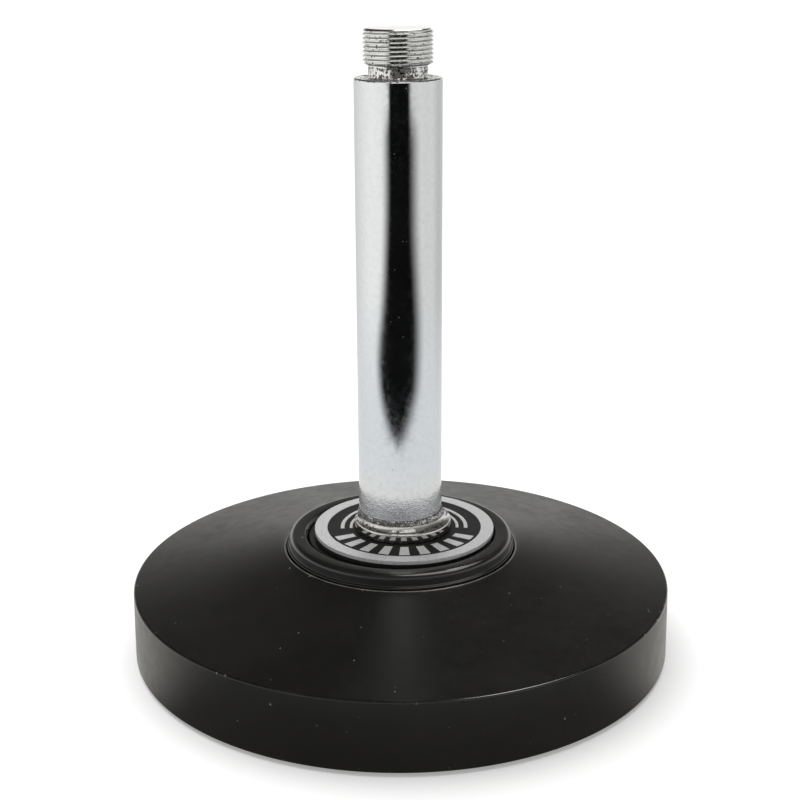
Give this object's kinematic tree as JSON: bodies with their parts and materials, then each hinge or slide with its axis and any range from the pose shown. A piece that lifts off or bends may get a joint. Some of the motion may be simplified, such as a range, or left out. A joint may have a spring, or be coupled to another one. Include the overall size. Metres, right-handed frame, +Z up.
{
  "type": "desktop microphone stand",
  "caption": "Heavy round desk base with a plated upright stem that ends in a standard microphone thread; the stem clamps to the base from below.",
  "frame": {"origin": "centre of the plane the four rubber feet rest on", "axes": "+Z up along the stem, -Y towards the front, where the badge's bar pattern faces"},
  "size_m": [0.1308, 0.1308, 0.1484],
  "materials": {
    "base_paint": "satin black paint",
    "collar_gloss": "gloss black enamel",
    "fibre": "matt black fibre",
    "badge_metal": "etched aluminium with black fill",
    "foot_rubber": "matt moulded rubber",
    "plated_steel": "bright plated",
    "turned_steel": "bright plated, turned",
    "zinc_hardware": "dull zinc"
  },
  "bodies": {
    "base": {"base_casting": "base_paint", "hub_collar": "collar_gloss", "badge_backing": "fibre", "badge_plate": "badge_metal", "rubber_foot_1": "foot_rubber", "rubber_foot_2": "foot_rubber", "rubber_foot_3": "foot_rubber", "rubber_foot_4": "foot_rubber", "foot_cup": "plated_steel"},
    "stem": {"stem_tube": "plated_steel", "top_thread_plug": "turned_steel", "bottom_clamp_plug": "turned_steel"},
    "clamp_washers": {"flat_washer": "zinc_hardware", "spring_washer": "zinc_hardware"},
    "clamp_nut": {"hex_nut": "zinc_hardware"}
  },
  "joints": [
    {"name": "stem_turn", "type": "hinge", "parent": "base", "child": "stem", "pos_m": [0, 0, 0.0309], "axis": [0, 0, 1], "continuous": true},
    {"name": "washer_drop", "type": "slide", "parent": "stem", "child": "clamp_washers", "axis": [0, 0, -1], "range_m": [0, 0.0047]},
    {"name": "nut_turn", "type": "hinge", "parent": "clamp_washers", "child": "clamp_nut", "pos_m": [0, 0, 0.0084], "axis": [0, 0, -1], "range_deg": [0, 1800]}
  ],
  "couplings": [
    {"joint": "nut_turn", "follows": "washer_drop", "rad_per_m": 6679}
  ]
}
